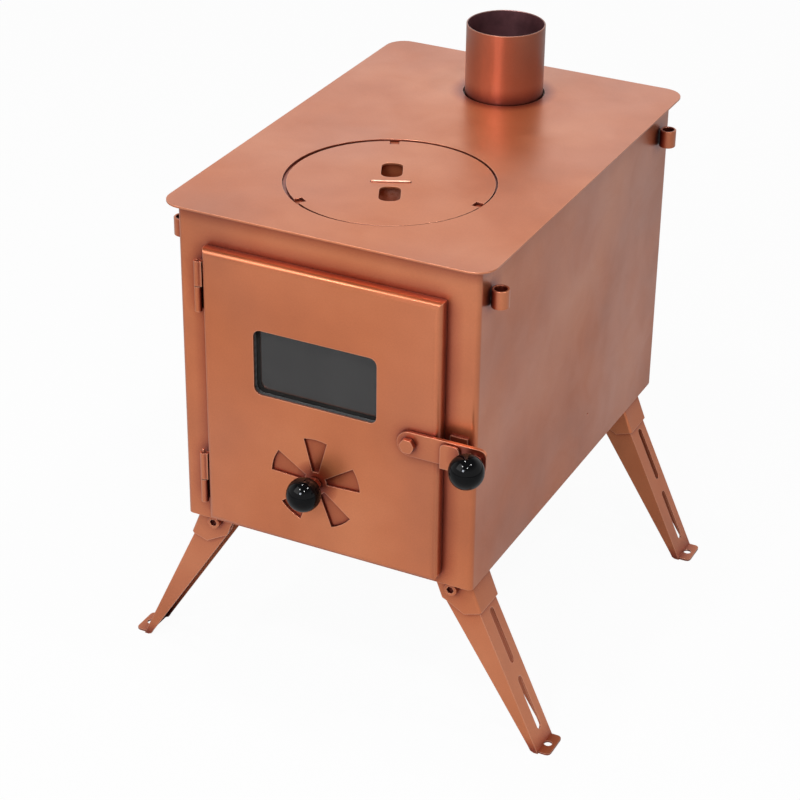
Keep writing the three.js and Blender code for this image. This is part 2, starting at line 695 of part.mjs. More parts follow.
function makeHinges() {
  const toWall = body.front - GAP - hinge.y;
  const toDoor = door.left - GAP - hinge.x;
  const { bore, webHalf, leafFront, leafBack } = hinge;
  for (const [name, { bottom, split, top, pinProud }] of [['upper', upperHinge], ['lower', lowerHinge]]) {
    const web = box(-webHalf, webHalf, bore, toWall, bottom, split - GAP);
    place(`hinge_body_knuckle_${name}`, knuckle(bottom, split - GAP, web), paint, stove, hinge.x, hinge.y, 0);
    const leaf = join(
      box(bore, toDoor, -webHalf, webHalf, split + GAP, top),
      box(toDoor - SHEET, toDoor, leafFront, leafBack, split + GAP, top),
    );
    place(`hinge_door_knuckle_${name}`, knuckle(split + GAP, top, leaf), paint, stove, hinge.x, hinge.y, 0);
    const pin = turned([
      [0, bottom], [hinge.pin, bottom], [hinge.pin, top + pinProud - hinge.pinTaper],
      [hinge.pinTip, top + pinProud], [0, top + pinProud],
    ]);
    place(`hinge_pin_${name}`, pin, paint, stove, hinge.x, hinge.y, 0);
  }
}

// ---------------------------------------------------------------- inside the firebox

// A folded tray with long slots, standing on its own edges on the base plate.
function makeGrate() {
  const { halfWidth, front, back, top, sheet, slot, pitch, slotMargin } = grate;
  const bottom = body.baseUnderside + SHEET + GAP;
  const tray = box(-halfWidth, halfWidth, front, back, bottom, top);
  const hollow = box(
    -halfWidth + sheet, halfWidth - sheet, front - PAST, back + PAST, bottom - PAST, top - sheet,
  );
  const slots = Array.from({ length: grate.slots }, (_, i) => {
    const x = (i - (grate.slots - 1) / 2) * pitch;
    const [y0, y1] = [front + slotMargin, back - slotMargin];
    return box(x - slot / 2, x + slot / 2, y0, y1, top - sheet - PAST, top + PAST);
  });
  place('fire_grate', cut(tray, hollow, ...slots), darkSteel);
}

function makeBaffle() {
  const back = body.back - 2 * (SHEET + GAP) - GAP;
  const x = innerHalfWidth - GAP;
  const { frontCorner, backCorner } = baffle;
  const sheet = rounded(-x, x, baffle.front, back, frontCorner, frontCorner, backCorner, backCorner);
  place('baffle_plate', join(
    upright(sheet, baffle.z, baffle.z + SHEET),
    box(-x, x, baffle.front, baffle.front + SHEET, baffle.z - baffle.lip, baffle.z + SHEET / 2),
  ), darkSteel);
}

makeBody();
makeTop();
makeSockets();
makeLid();
makeLegs();
makeDoorPan();
makeWindow();
makeSeal();
makeVent();
makeLatch();
makeKeeper();
makeHinges();
makeGrate();
makeBaffle();

export default root;
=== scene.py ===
"""Tent wood stove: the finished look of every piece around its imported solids, with a studio stage.

Metres, in the solids' own frame: +Z up, -Y towards the side with the door, z = 0 on the ground.
"""

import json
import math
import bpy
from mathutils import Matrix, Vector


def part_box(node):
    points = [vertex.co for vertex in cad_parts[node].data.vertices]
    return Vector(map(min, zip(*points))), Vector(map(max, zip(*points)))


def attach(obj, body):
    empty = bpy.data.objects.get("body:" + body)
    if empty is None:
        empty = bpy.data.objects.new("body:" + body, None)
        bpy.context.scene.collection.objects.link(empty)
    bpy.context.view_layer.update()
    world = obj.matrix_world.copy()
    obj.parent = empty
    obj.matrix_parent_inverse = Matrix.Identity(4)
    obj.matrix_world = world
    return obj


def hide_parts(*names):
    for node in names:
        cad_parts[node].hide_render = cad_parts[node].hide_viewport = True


bl_info = {
    "name": "Tent Wood Stove",
    "version": (1, 0, 0),
    "blender": (4, 5, 0),
    "location": "View3D > Sidebar > Stove",
    "description": "Finishes the sheet metal, fasteners, window and knobs of a folding wood stove",
    "category": "Object",
}

import bmesh
import bpy
from bpy.props import FloatProperty, FloatVectorProperty, PointerProperty
from mathutils import Euler, Matrix, Vector

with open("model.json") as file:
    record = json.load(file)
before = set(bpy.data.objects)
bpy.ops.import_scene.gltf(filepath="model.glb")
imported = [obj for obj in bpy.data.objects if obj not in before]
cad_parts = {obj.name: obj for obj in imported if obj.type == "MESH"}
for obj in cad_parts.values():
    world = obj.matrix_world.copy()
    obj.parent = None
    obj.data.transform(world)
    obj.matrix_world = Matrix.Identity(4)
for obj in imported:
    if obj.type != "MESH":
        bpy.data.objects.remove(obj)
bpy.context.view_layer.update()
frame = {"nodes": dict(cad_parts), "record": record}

MM = 0.001
UP, BACK = Vector((0, 0, 1)), Vector((0, 1, 0))
BODY_OF = {
    node: body for body, nodes in frame["record"]["behaviour"]["bodies"].items() for node in nodes
}
SLOT_OF = {part["node"]: part["material_slot"] for part in frame["record"]["subparts"]}

# Faces that meet at more than SHARP keep a crisp edge, at more than FOLD they are a bent flange,
# and at less than FLAT they are one face. The corner of a hexagon is over CORNER, and the edges of
# its chamfers over CHAMFER.
SHARP = math.radians(50)
FOLD = math.radians(80)
FLAT = math.radians(0.5)
CORNER = math.radians(55)
CHAMFER = math.radians(35)

# Points that are one: where a solid's triangles meet, and where a spun shape closes.
WELD = 2e-6
SEAM = 1e-7

# The flue's tube to its outside, and its sheet.
FLUE_RADIUS = 30 * MM
FLUE_WALL = 1.2 * MM

# ---------------------------------------------------------------- colours and materials


def linear(code):
    """An sRGB hex colour as the linear colour that a shader reads, with its alpha."""
    channels = [int(code[i : i + 2], 16) / 255 for i in (1, 3, 5)]
    return [c / 12.92 if c <= 0.04045 else ((c + 0.055) / 1.055) ** 2.4 for c in channels] + [1.0]


WHITE = linear("#FFFFFF")


def cells(size_mm):
    """The scale at which a pattern's cells are this many millimetres across."""
    return 1 / (size_mm * MM)


def add(tree, kind, settings=None, stops=(), **links):
    """Adds a node, sets its properties and unlinked inputs, and links the others.

    A setting is a property, or an input by name or number. A link is named for its input, with
    underscores for spaces, or in_0, in_1 and so on, and comes from a socket or from the first
    output of a node. Stops are the (position, colour) pairs of a colour ramp.
    """
    node = tree.nodes.new(kind)
    for name, value in (settings or {}).items():
        if isinstance(name, int) or name in node.inputs:
            node.inputs[name].default_value = value
        else:
            setattr(node, name, value)
    for name, source in links.items():
        at = int(name[3:]) if name.startswith("in_") else name.replace("_", " ")
        socket = source.outputs[0] if isinstance(source, bpy.types.Node) else source
        tree.links.new(socket, node.inputs[at])
    if stops:
        elements = node.color_ramp.elements
        while len(elements) < len(stops):
            elements.new(0.5)
        for element, (position, colour) in zip(elements, stops):
            element.position, element.color = position, colour
    return node


def new_material(name):
    """A material with only its output, and the point on the piece in the stove's frame.

    Where the material is there already, only it comes back, and the rest is None.
    """
    material = bpy.data.materials.get(name)
    if material:
        return material, None, None, None
    material = bpy.data.materials.new(name)
    material.use_nodes = True
    tree = material.node_tree
    tree.nodes.clear()
    output = add(tree, "ShaderNodeOutputMaterial")
    point = add(tree, "ShaderNodeTexCoord").outputs["Object"]
    return material, tree, output, point


def paint_shader(tree, point, colour_of=None, dull=0.0):
    """Satin heat-resistant metallic paint, sprayed: a copper pigment in a clear binder.

    The flakes give it a warm metallic body that goes dark and red where it mirrors itself, and the
    binder a greyish sheen at low angles. The spray leaves a fine peel, cloudy thick and thin places
    and slanting passes with more binder, and handling leaves soft dull patches on the wide faces.
    A function may change the paint's colour at a point, and dull is added to its roughness.
    """
    paint = bpy.context.scene.stove_paint
    cloud = add(
        tree, "ShaderNodeTexNoise", {"Scale": cells(110), "Detail": 3, "Roughness": 0.5}, Vector=point
    )
    toned = add(
        tree,
        "ShaderNodeValToRGB",
        stops=((0.3, (*paint.deep, 1)), (0.5, (*paint.base, 1)), (0.72, (*paint.light, 1))),
        in_0=cloud,
    )
    # Real flakes are 0.05 mm across, and are drawn coarser so that they show.
    flake = add(
        tree, "ShaderNodeTexNoise", {"Scale": cells(0.9), "Detail": 2, "Roughness": 0.7}, Vector=point
    )
    glint = add(
        tree,
        "ShaderNodeMapRange",
        {"From Min": 0.35, "From Max": 0.65, "To Min": 0.965, "To Max": 1.04},
        Value=flake,
    )
    colour = add(tree, "ShaderNodeVectorMath", {"operation": "SCALE"}, in_0=toned, Scale=glint)
    if colour_of:
        colour = colour_of(tree, point, colour)
    slanted = add(
        tree,
        "ShaderNodeMapping",
        {"vector_type": "TEXTURE", "Rotation": (math.radians(50), 0, 0), "Scale": (1, 2.2, 1)},
        Vector=point,
    )
    passes = add(
        tree, "ShaderNodeTexNoise", {"Scale": cells(125), "Detail": 2, "Roughness": 0.45}, Vector=slanted
    )
    binder = add(
        tree,
        "ShaderNodeMapRange",
        {"From Min": 0.36, "From Max": 0.66, "To Min": 0.2, "To Max": 0.7},
        Value=passes,
    )
    smudge = add(
        tree,
        "ShaderNodeTexNoise",
        {"Scale": cells(38), "Detail": 4, "Roughness": 0.6, "Distortion": 0.6},
        Vector=point,
    )
    rough = paint.roughness + dull
    gloss = add(
        tree,
        "ShaderNodeMapRange",
        {"From Min": 0.35, "From Max": 0.7, "To Min": rough - 0.02, "To Max": rough + 0.1},
        Value=smudge,
    )
    peel = add(
        tree, "ShaderNodeTexNoise", {"Scale": cells(1.6), "Detail": 2, "Roughness": 0.5}, Vector=point
    )
    bump = add(tree, "ShaderNodeBump", {"Strength": 0.05, "Distance": 0.02 * MM}, Height=peel)
    return add(
        tree,
        "ShaderNodeBsdfPrincipled",
        {"Metallic": paint.metallic, "Coat Roughness": 0.3},
        Base_Color=crease_shade_and_edge_light(tree, colour),
        Coat_Weight=binder,
        Roughness=gloss,
        Normal=bump,
    )


def crease_shade_and_edge_light(tree, colour):
    """Darkens the paint in corners and creases as painted shade, and pales it on convex edges, as wear
    and as a painted edge highlight.
    """
    # Painted shade: the colour goes dark red brown where other surfaces lie within 13 mm.
    near = add(tree, "ShaderNodeAmbientOcclusion", {"samples": 6, "Distance": 13 * MM})
    shade = add(
        tree,
        "ShaderNodeValToRGB",
        stops=(
            (0.08, linear("#40221C")),
            (0.3, linear("#7A3E34")),
            (0.6, linear("#A26A60")),
            (0.82, linear("#DEC0B8")),
            (0.96, WHITE),
        ),
        in_0=near.outputs["AO"],
    )
    shaded = add(tree, "ShaderNodeVectorMath", {"operation": "MULTIPLY"}, in_0=colour, in_1=shade)
    # Pale copper on convex edges: wear, and a painted edge highlight.
    edge = add(
        tree, "ShaderNodeAmbientOcclusion", {"samples": 4, "inside": True, "Distance": 0.7 * MM}
    )
    edge_wear_and_highlight = add(
        tree,
        "ShaderNodeMapRange",
        {"From Min": 0.5, "From Max": 0.9, "To Min": 0.7, "To Max": 0.0},
        Value=edge.outputs["AO"],
    )
    return add(
        tree,
        "ShaderNodeMix",
        {"data_type": "RGBA", 7: linear("#E2A98C")},
        in_0=edge_wear_and_highlight,
        in_6=shaded,
    ).outputs[2]


def shaded_flue_dark_bore(tree, point, colour):
    """The flue's colour: outside, a darker and greyer copy of the paint as painted shade; in the bore, a
    mottled dark purple brown.
    """
    axis = add(
        tree,
        "ShaderNodeMapping",
        {"Location": -under_middle("flue_spigot"), "Scale": (1, 1, 0)},
        Vector=point,
    )
    away = add(tree, "ShaderNodeVectorMath", {"operation": "LENGTH"}, in_0=axis)
    bore = FLUE_RADIUS - FLUE_WALL
    outside = add(
        tree,
        "ShaderNodeMapRange",
        {"From Min": bore + 0.4 * MM, "From Max": bore + 0.8 * MM},
        Value=away.outputs["Value"],
    )
    # The bore is painted a mottled dark purple brown.
    cloud = add(
        tree, "ShaderNodeTexNoise", {"Scale": cells(18), "Detail": 4, "Roughness": 0.6}, Vector=point
    )
    dark_mottle = add(
        tree,
        "ShaderNodeValToRGB",
        stops=((0.35, linear("#5A383C")), (0.7, linear("#7E5054"))),
        in_0=cloud,
    )
    # Painted shade: the outside of the flue darkened and greyed all over.
    shaded_outside = add(
        tree,
        "ShaderNodeVectorMath",
        {"operation": "MULTIPLY", 1: linear("#C2C4DC")[:3]},
        in_0=colour,
    )
    return add(
        tree, "ShaderNodeMix", {"data_type": "RGBA"}, in_0=outside, in_6=dark_mottle, in_7=shaded_outside
    ).outputs[2]


def shaded_recess(tree, point, colour):
    """The colour of paint on a disc that lies back behind slots: browner and darker, as painted shade.
    """
    return add(
        tree,
        "ShaderNodeVectorMath",
        {"operation": "MULTIPLY", 1: linear("#DCC8C0")[:3]},
        in_0=colour,
    )


def pale_highlight_colour(tree, point, colour):
    """The colour of the lid's lifting bar: pale bright copper all over, as a painted highlight."""
    pale_patches = add(
        tree, "ShaderNodeTexNoise", {"Scale": cells(3), "Detail": 3, "Roughness": 0.6}, Vector=point
    )
    return add(
        tree,
        "ShaderNodeValToRGB",
        stops=((0.35, linear("#E3A484")), (0.6, linear("#F6CDB2"))),
        in_0=pale_patches,
    )


def painted(name, colour_of=None, dull=0.0):
    """A material of the copper paint, with its colour changed by a function, and made rougher."""
    material, tree, output, point = new_material(name)
    if tree:
        shader = paint_shader(tree, point, colour_of, dull)
        tree.links.new(shader.outputs[0], output.inputs[0])
    return material


def copper_paint():
    """The satin copper paint on the firebox, door, legs and fittings: warm, soft and metallic."""
    return painted("satin_copper_heat_paint")


def flue_paint():
    """Copper paint on the flue, darker and greyer outside as painted shade and slightly rougher, with a
    dark purple brown bore.
    """
    return painted("copper_heat_paint_with_shaded_flue_dark_bore", shaded_flue_dark_bore, dull=0.06)


def shaded_disc_paint():
    """Copper paint on the vent's disc, browner and darker as painted shade behind its slots."""
    return painted("shaded_recess_copper_paint", shaded_recess)


def highlight_paint():
    """Copper paint on the lid's lifting bar, pale all over as a painted highlight."""
    return painted("pale_highlight_copper_heat_paint", pale_highlight_colour)


def heated_steel():
    """Hot-rolled mild steel, bare and darkened by fire: blue-grey scale with brown patches."""
    material, tree, output, point = new_material("heat_darkened_mild_steel")
    if not tree:
        return material
    patch = add(
        tree, "ShaderNodeTexNoise", {"Scale": cells(22), "Detail": 5, "Roughness": 0.62}, Vector=point
    )
    colour = add(
        tree,
        "ShaderNodeValToRGB",
        stops=((0.3, linear("#35312E")), (0.5, linear("#4B4642")), (0.7, linear("#5C4A3F"))),
        in_0=patch,
    )
    rough = add(
        tree,
        "ShaderNodeMapRange",
        {"From Min": 0.3, "From Max": 0.7, "To Min": 0.42, "To Max": 0.7},
        Value=patch,
    )
    grain = add(
        tree, "ShaderNodeTexNoise", {"Scale": cells(0.8), "Detail": 3, "Roughness": 0.6}, Vector=point
    )
    bump = add(tree, "ShaderNodeBump", {"Strength": 0.25, "Distance": 0.05 * MM}, Height=grain)
    shader = add(
        tree,
        "ShaderNodeBsdfPrincipled",
        {"Metallic": 0.85},
        Base_Color=colour,
        Roughness=rough,
        Normal=bump,
    )
    tree.links.new(shader.outputs[0], output.inputs[0])
    return material


def zinc_plate():
    """Bright zinc-plated steel, barrel plated: silvery with a faint yellow and blue passivation."""
    material, tree, output, point = new_material("zinc_plated_steel")
    if not tree:
        return material
    stain = add(
        tree, "ShaderNodeTexNoise", {"Scale": cells(4), "Detail": 2, "Roughness": 0.5}, Vector=point
    )
    colour = add(
        tree,
        "ShaderNodeValToRGB",
        stops=((0.35, linear("#B9B6A8")), (0.5, linear("#C4C4C1")), (0.65, linear("#AEB5BE"))),
        in_0=stain,
    )
    rough = add(
        tree,
        "ShaderNodeMapRange",
        {"From Min": 0.3, "From Max": 0.7, "To Min": 0.24, "To Max": 0.36},
        Value=stain,
    )
    shader = add(
        tree, "ShaderNodeBsdfPrincipled", {"Metallic": 1.0}, Base_Color=colour, Roughness=rough
    )
    tree.links.new(shader.outputs[0], output.inputs[0])
    return material


def phenolic():
    """Black phenolic, moulded and polished: deep black with a hard glassy surface and faint dust."""
    material, tree, output, point = new_material("polished_black_phenolic")
    if not tree:
        return material
    dust = add(
        tree, "ShaderNodeTexNoise", {"Scale": cells(1.2), "Detail": 4, "Roughness": 0.7}, Vector=point
    )
    colour = add(
        tree,
        "ShaderNodeValToRGB",
        stops=((0.55, linear("#040405")), (0.8, linear("#0E0E0F"))),
        in_0=dust,
    )
    rough = add(
        tree,
        "ShaderNodeMapRange",
        {"From Min": 0.4, "From Max": 0.8, "To Min": 0.02, "To Max": 0.06},
        Value=dust,
    )
    shader = add(
        tree,
        "ShaderNodeBsdfPrincipled",
        {"IOR": 1.6, "Specular IOR Level": 0.1},
        Base_Color=colour,
        Roughness=rough,
    )
    tree.links.new(shader.outputs[0], output.inputs[0])
    return material


def glass_ceramic():
    """Glass ceramic, rolled and flat: almost clear, with a smoky tint and light soot inside."""
    material, tree, output, point = new_material("smoky_glass_ceramic")
    if not tree:
        return material
    dark_mottle = add(
        tree, "ShaderNodeTexNoise", {"Scale": cells(26), "Detail": 4, "Roughness": 0.6}, Vector=point
    )
    colour = add(
        tree,
        "ShaderNodeValToRGB",
        stops=((0.35, linear("#3A3836")), (0.75, linear("#2C2A28"))),
        in_0=dark_mottle,
    )
    rough = add(
        tree,
        "ShaderNodeMapRange",
        {"From Min": 0.3, "From Max": 0.7, "To Min": 0.05, "To Max": 0.12},
        Value=dark_mottle,
    )
    shader = add(
        tree,
        "ShaderNodeBsdfPrincipled",
        {"IOR": 1.54, "Transmission Weight": 0.55},
        Base_Color=colour,
        Roughness=rough,
    )
    tree.links.new(shader.outputs[0], output.inputs[0])
    return material


def woven_fibre():
    """Black glass-fibre rope and tape, woven: matt yarns 2 mm wide that cross at an angle."""
    material, tree, output, point = new_material("woven_black_glass_fibre")
    if not tree:
        return material
    crossing = []
    for lean in (40, -40):
        turned = add(tree, "ShaderNodeMapping", {"Rotation": (0, math.radians(lean), 0)}, Vector=point)
        yarns = add(
            tree,
            "ShaderNodeTexWave",
            {"bands_direction": "X", "Scale": cells(2) / 6.28, "Distortion": 0.8},
            Vector=turned,
        )
        crossing.append(yarns.outputs["Fac"])
    weave = add(
        tree, "ShaderNodeMath", {"operation": "MAXIMUM"}, in_0=crossing[0], in_1=crossing[1]
    )
    colour = add(
        tree,
        "ShaderNodeValToRGB",
        stops=((0.2, linear("#0C0C0C")), (0.9, linear("#2B2A29"))),
        in_0=weave,
    )
    bump = add(tree, "ShaderNodeBump", {"Strength": 0.6, "Distance": 0.3 * MM}, Height=weave)
    shader = add(
        tree,
        "ShaderNodeBsdfPrincipled",
        {"Roughness": 0.95, "Sheen Weight": 0.2, "Sheen Roughness": 0.5},
        Base_Color=colour,
        Normal=bump,
    )
    tree.links.new(shader.outputs[0], output.inputs[0])
    return material


MATERIALS = {
    "copper_paint": copper_paint,
    "dark_steel": heated_steel,
    "zinc": zinc_plate,
    "phenolic": phenolic,
    "ceramic_glass": glass_ceramic,
    "fibre": woven_fibre,
}

# ---------------------------------------------------------------- making pieces


def add_piece(bm, node, finish, smooth=SHARP, material=None):
    """Makes a bmesh an object in the place of a solid, on the same body, with the given material or else
    the one for the solid's slot, and hides the solid.
    """
    for face in bm.faces:
        face.smooth = True
    for edge in bm.edges:
        edge.smooth = not edge.is_manifold or edge.calc_face_angle() < smooth
    mesh = bpy.data.meshes.new(f"{node}_{finish}")
    bm.to_mesh(mesh)
    bm.free()
    piece = bpy.data.objects.new(f"{node}_{finish}", mesh)
    bpy.context.scene.collection.objects.link(piece)
    mesh.materials.append(material or MATERIALS[SLOT_OF[node]]())
    piece.modifiers.new("even shading", "WEIGHTED_NORMAL").keep_sharp = True
    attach(piece, BODY_OF[node])
    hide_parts(node)


def merged_copy(node):
    """The solid's own surface as a bmesh, with its triangles joined into whole faces."""
    bm = bmesh.new()
    bm.from_mesh(frame["nodes"][node].data)
    bmesh.ops.remove_doubles(bm, verts=bm.verts, dist=WELD)
    bmesh.ops.dissolve_limit(bm, angle_limit=FLAT, verts=bm.verts, edges=bm.edges)
    return bm


def bevelled(bm, geom, width, segments, affect="EDGES"):
    """Bevels edges or corners to a width on each face."""
    bmesh.ops.bevel(
        bm,
        geom=geom,
        offset=width,
        offset_type="OFFSET",
        affect=affect,
        segments=segments,
        profile=0.5,
        clamp_overlap=True,
        material=-1,
    )


def break_edges(bm, width, least=SHARP):
    """Rounds every edge sharper than the given angle, as deburring and paint do."""
    edges = [e for e in bm.edges if e.is_manifold and e.calc_face_angle() > least]
    bevelled(bm, edges, width, segments=2)


def round_folds(bm, radius):
    """Rounds the outer edge of each fold between two wide faces, as a press brake bends it."""
    least_area = 150 * MM**2
    folds = [
        e
        for e in bm.edges
        if e.is_manifold
        and e.calc_face_angle_signed() > FOLD
        and min(face.calc_area() for face in e.link_faces) > least_area
    ]
    bevelled(bm, folds, radius, segments=5)


def under_middle(node):
    """The point on the ground under the middle of a solid."""
    low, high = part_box(node)
    middle = (low + high) / 2
    return Vector((middle.x, middle.y, 0))


def spun(profile, centre, axis, steps):
    """A profile of (radius, along) points turned a full circle about an axis, in so many steps.

    It starts at +X, and is closed from its last point to its first unless one lies on the axis.
    """
    bm = bmesh.new()
    across = Vector((1, 0, 0))
    points = [bm.verts.new(centre + across * r + axis * a) for r, a in profile]
    edges = [bm.edges.new(pair) for pair in zip(points, points[1:])]
    if profile[0][0] > 0 and profile[-1][0] > 0:
        edges.append(bm.edges.new((points[-1], points[0])))
    bmesh.ops.spin(
        bm,
        geom=points + edges,
        cent=centre,
        axis=axis,
        angle=math.tau,
        steps=steps,
        use_merge=True,
    )
    bmesh.ops.remove_doubles(bm, verts=bm.verts, dist=SEAM)
    bmesh.ops.recalc_face_normals(bm, faces=bm.faces)
    return bm


# ---------------------------------------------------------------- what a user may change


class StoveSizes(bpy.types.PropertyGroup):
    edge_break: FloatProperty(
        name="Edge break",
        description="Radius of the deburred and painted sheet edges",
        default=0.3 * MM,
        min=0.1 * MM,
        max=0.6 * MM,
        unit="LENGTH",
    )
    fold_radius: FloatProperty(
        name="Fold radius",
        description="Outer radius of the folds along the legs and their brackets",
        default=1.8 * MM,
        min=0.5 * MM,
        max=3 * MM,
        unit="LENGTH",
    )
    ball_diameter: FloatProperty(
        name="Ball diameter",
        description="Diameter of the black ball knobs; their length to the flat stays",
        default=25 * MM,
        min=24.8 * MM,
        max=26 * MM,
        unit="LENGTH",
    )


class StovePaint(bpy.types.PropertyGroup):
    base: FloatVectorProperty(
        name="Paint",
        description="Copper paint on a plain face",
        default=linear("#C06D44")[:3],
        min=0,
        max=1,
        subtype="COLOR",
    )
    deep: FloatVectorProperty(
        name="Deep paint",
        description="Copper paint where it lies thick",
        default=linear("#B1633E")[:3],
        min=0,
        max=1,
        subtype="COLOR",
    )
    light: FloatVectorProperty(
        name="Light paint",
        description="Copper paint where it lies thin",
        default=linear("#CC7B51")[:3],
        min=0,
        max=1,
        subtype="COLOR",
    )
    metallic: FloatProperty(
        name="Metallic",
        description="Share of flake in the paint",
        default=0.75,
        min=0,
        max=1,
        subtype="FACTOR",
    )
    roughness: FloatProperty(
        name="Roughness",
        description="Roughness of the satin paint where it is cleanest",
        default=0.31,
        min=0,
        max=1,
        subtype="FACTOR",
    )


class StoveStage(bpy.types.PropertyGroup):
    ceiling_power: FloatProperty(
        name="Ceiling lamps",
        description="Power of each ceiling lamp",
        default=22,
        min=0,
        unit="POWER",
    )
    window_power: FloatProperty(
        name="Window softbox",
        description="Power of the softbox in front",
        default=48,
        min=0,
        unit="POWER",
    )
    panel_power: FloatProperty(
        name="Overhead panel",
        description="Power of the wide panel that hangs in front, high and to the left",
        default=32,
        min=0,
        unit="POWER",
    )
    soft_light: FloatProperty(
        name="Soft light",
        description="Strength of the even light from all round",
        default=0.2,
        min=0,
    )
    ceiling: FloatVectorProperty(
        name="Ceiling",
        description="The ceiling as glossy surfaces show it",
        default=linear("#8C8C8C")[:3],
        min=0,
        max=1,
        subtype="COLOR",
    )
    focal_length: FloatProperty(
        name="Focal length",
        description="Lens of the camera, on a sensor 36 mm wide",
        default=104.21,
        min=10,
        unit="CAMERA",
    )


# ---------------------------------------------------------------- operators

SHEETS = (
    "body_shell back_panel top_plate lid_seat_ring cooking_lid lid_lifting_bar door_pan vent_disc "
    "latch_arm latch_keeper glass_retainer base_plate fire_grate baffle_plate "
    "leg_bracket_front_left leg_bracket_rear_left leg_bracket_front_right leg_bracket_rear_right "
    "leg_front_left leg_rear_left leg_front_right leg_rear_right"
).split()
SOCKETS = "socket_front_left socket_rear_left socket_front_right socket_rear_right".split()
HEX_PIECES = (
    "vent_outer_nut vent_inner_nut latch_nut latch_pivot_nut latch_pivot_bolt "
    "leg_nut_front_left leg_nut_rear_left leg_nut_front_right leg_nut_rear_right "
    "glass_nut_1 glass_nut_2 glass_nut_3 glass_nut_4"
).split()


class STOVE_OT_sheet_metal(bpy.types.Operator):
    """Finishes every folded or cut sheet with deburred, painted edges"""

    bl_idname = "stove.sheet_metal"
    bl_label = "Sheet Metal"

    def execute(self, context):
        sizes = context.scene.stove_sizes
        worn_by = {"lid_lifting_bar": 2.5}
        own_paint = {"lid_lifting_bar": highlight_paint, "vent_disc": shaded_disc_paint}
        for node in SHEETS:
            bm = merged_copy(node)
            if node.startswith("leg_"):
                round_folds(bm, sizes.fold_radius)
            break_edges(bm, sizes.edge_break * worn_by.get(node, 1))
            add_piece(bm, node, "sheet", material=own_paint[node]() if node in own_paint else None)
        return {"FINISHED"}


class STOVE_OT_flue_and_sockets(bpy.types.Operator):
    """Rolls the flue spigot and the four side sockets as fine round tubes"""

    bl_idname = "stove.flue_and_sockets"
    bl_label = "Flue Spigot and Sockets"

    def execute(self, context):
        low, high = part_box("flue_spigot")
        flange, tube, bore = (high.x - low.x) / 2, FLUE_RADIUS, FLUE_RADIUS - FLUE_WALL
        seat = low.z + 1.5 * MM
        lip, weld = 0.35 * MM, 0.8 * MM
        profile = [
            (bore, low.z),
            (flange - lip, low.z),
            (flange, low.z + lip),
            (flange, seat - lip),
            (flange - lip, seat),
            (tube + weld, seat),
            (tube + weld / 4, seat + weld / 4),
            (tube, seat + weld),
            (tube, high.z - lip),
            (tube - lip, high.z),
            (bore + lip, high.z),
            (bore, high.z - lip),
        ]
        bm = spun(profile, under_middle("flue_spigot"), UP, steps=96)
        add_piece(bm, "flue_spigot", "tube", material=flue_paint())

        outer, bore, lip = 6.25 * MM, 4.5 * MM, 0.4 * MM
        for node in SOCKETS:
            low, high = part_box(node)
            profile = [
                (bore, low.z + lip),
                (bore + lip, low.z),
                (outer - lip, low.z),
                (outer, low.z + lip),
                (outer, high.z - lip),
                (outer - lip, high.z),
                (bore + lip, high.z),
                (bore, high.z - lip),
            ]
            add_piece(spun(profile, under_middle(node), UP, steps=48), node, "tube")
        return {"FINISHED"}


class STOVE_OT_lid_cup(bpy.types.Operator):
    """Presses the round cup under the cooking lid"""

    bl_idname = "stove.lid_cup"
    bl_label = "Lid Cup"

    def execute(self, context):
        low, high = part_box("lid_cup")
        radius, sheet, bend = (high.y - low.y) / 2, 1.5 * MM, 2.5 * MM
        outer, inner = (
            [
                (radius - bend + size * math.sin(a), low.z + bend - size * math.cos(a))
                for a in (math.radians(15 * i) for i in range(7))
            ]
            for size in (bend, bend - sheet)
        )
        profile = [
            (0, low.z),
            *outer,
            (radius, high.z),
            (radius - sheet, high.z),
            *reversed(inner),
            (0, low.z + sheet),
        ]
        add_piece(spun(profile, under_middle("lid_cup"), UP, steps=72), "lid_cup", "pressing")
        return {"FINISHED"}


class STOVE_OT_ball_knobs(bpy.types.Operator):
    """Turns the two ball knobs, each with a flat and a bore at the back"""

    bl_idname = "stove.ball_knobs"
    bl_label = "Ball Knobs"

    def execute(self, context):
        radius = context.scene.stove_sizes.ball_diameter / 2
        bore, depth, lip, rounding = 3.2 * MM, 12 * MM, 0.5 * MM, 0.25 * MM
        short_of_flat, steps = 0.03, 36
        for node in ("vent_knob", "latch_knob"):
            low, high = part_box(node)
            centre = Vector(((low.x + high.x) / 2, low.y + radius, (low.z + high.z) / 2))
            flat = high.y - centre.y
            last = math.acos(-flat / radius) - short_of_flat
            surface = [
                (radius * math.sin(last * i / steps), -radius * math.cos(last * i / steps))
                for i in range(steps + 1)
            ]
            rim = surface[-1][0]
            profile = [
                *surface,
                (rim - rounding, flat),
                (bore + lip, flat),
                (bore, flat - lip),
                (bore, flat - depth),
                (0, flat - depth),
            ]
            add_piece(spun(profile, centre, BACK, steps=64), node, "ball")
        return {"FINISHED"}


class STOVE_OT_hex_fasteners(bpy.types.Operator):
    """Chamfers the corners of the nuts and of the latch's pivot bolt"""

    bl_idname = "stove.hex_fasteners"
    bl_label = "Hex Fasteners"

    def execute(self, context):
        for node in HEX_PIECES:
            bm = merged_copy(node)
            low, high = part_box(node)
            axis, reach = (low + high) / 2, (high.x - low.x) / 2
            # The glass nuts are the small ones.
            chamfer, rounding = (0.5, 0.1) if high.z - low.z < 7 * MM else (0.9, 0.18)
            corners = [
                v
                for v in bm.verts
                if sum(e.calc_face_angle(0) > CORNER for e in v.link_edges) == 3
                and math.hypot(v.co.x - axis.x, v.co.z - axis.z) > 0.9 * reach
            ]
            bevelled(bm, corners, chamfer * MM, segments=1, affect="VERTICES")
            break_edges(bm, rounding * MM, CORNER)
            add_piece(bm, node, "chamfered", smooth=CHAMFER)
        return {"FINISHED"}


